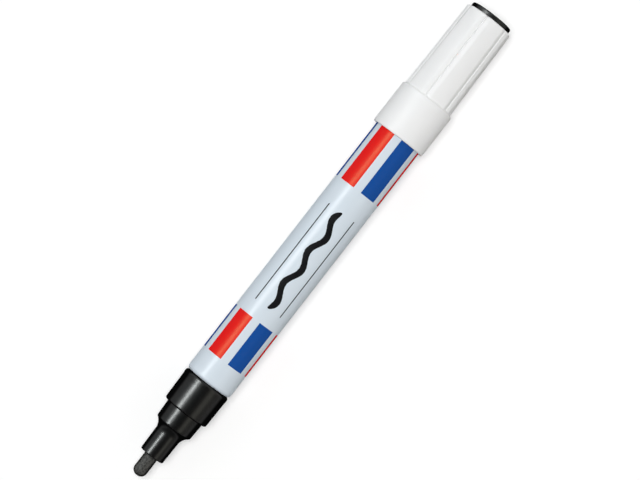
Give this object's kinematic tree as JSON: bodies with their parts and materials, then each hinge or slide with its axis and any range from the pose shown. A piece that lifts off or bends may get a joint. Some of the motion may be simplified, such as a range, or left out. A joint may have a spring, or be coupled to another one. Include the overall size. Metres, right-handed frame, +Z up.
{
  "type": "paint marker",
  "caption": "Valve-action paint marker lying on its side, felt bullet nib out and its white cap posted on the tail.",
  "frame": {"origin": "on the table under the middle of the marker's length, with the cap posted", "axes": "+X along the marker from nib to cap, +Z up from the table"},
  "size_m": [0.1548, 0.0162, 0.0161],
  "materials": {
    "barrel_lacquer": "gloss lacquer",
    "front_plastic": "gloss",
    "nib_felt": "felt",
    "cap_plastic": "satin gloss",
    "cap_plug_plastic": "gloss",
    "liner_plastic": "satin",
    "seal_rubber": "matt",
    "valve_plastic": "satin",
    "spring_steel": "drawn wire",
    "ball_steel": "polished"
  },
  "bodies": {
    "marker_body": {"barrel": "barrel_lacquer", "barrel_seal": "seal_rubber", "front_collar": "front_plastic", "nose_cone": "front_plastic", "valve_case": "valve_plastic", "valve_seat": "seal_rubber", "valve_spring": "spring_steel", "spring_retainer": "valve_plastic"},
    "nib_and_valve": {"nib": "nib_felt", "valve_rod": "valve_plastic"},
    "cap": {"cap_shell": "cap_plastic", "cap_liner": "liner_plastic", "cap_end_plug": "cap_plug_plastic"},
    "mixing_ball": {"mixing_ball": "ball_steel"}
  },
  "joints": [
    {"name": "nib_press", "type": "slide", "parent": "marker_body", "child": "nib_and_valve", "axis": [1, 0, 0], "range_m": [0, 0.002], "stiffness_N_per_m": 300, "springref_m": -0.003, "deforming": ["valve_spring"]},
    {"name": "cap_pull", "type": "slide", "parent": "marker_body", "child": "cap", "axis": [1, 0, 0], "range_m": [0, 0.03]},
    {"name": "ball_roll", "type": "slide", "parent": "marker_body", "child": "mixing_ball", "axis": [1, 0, 0], "range_m": [-0.034, 0.034]}
  ]
}
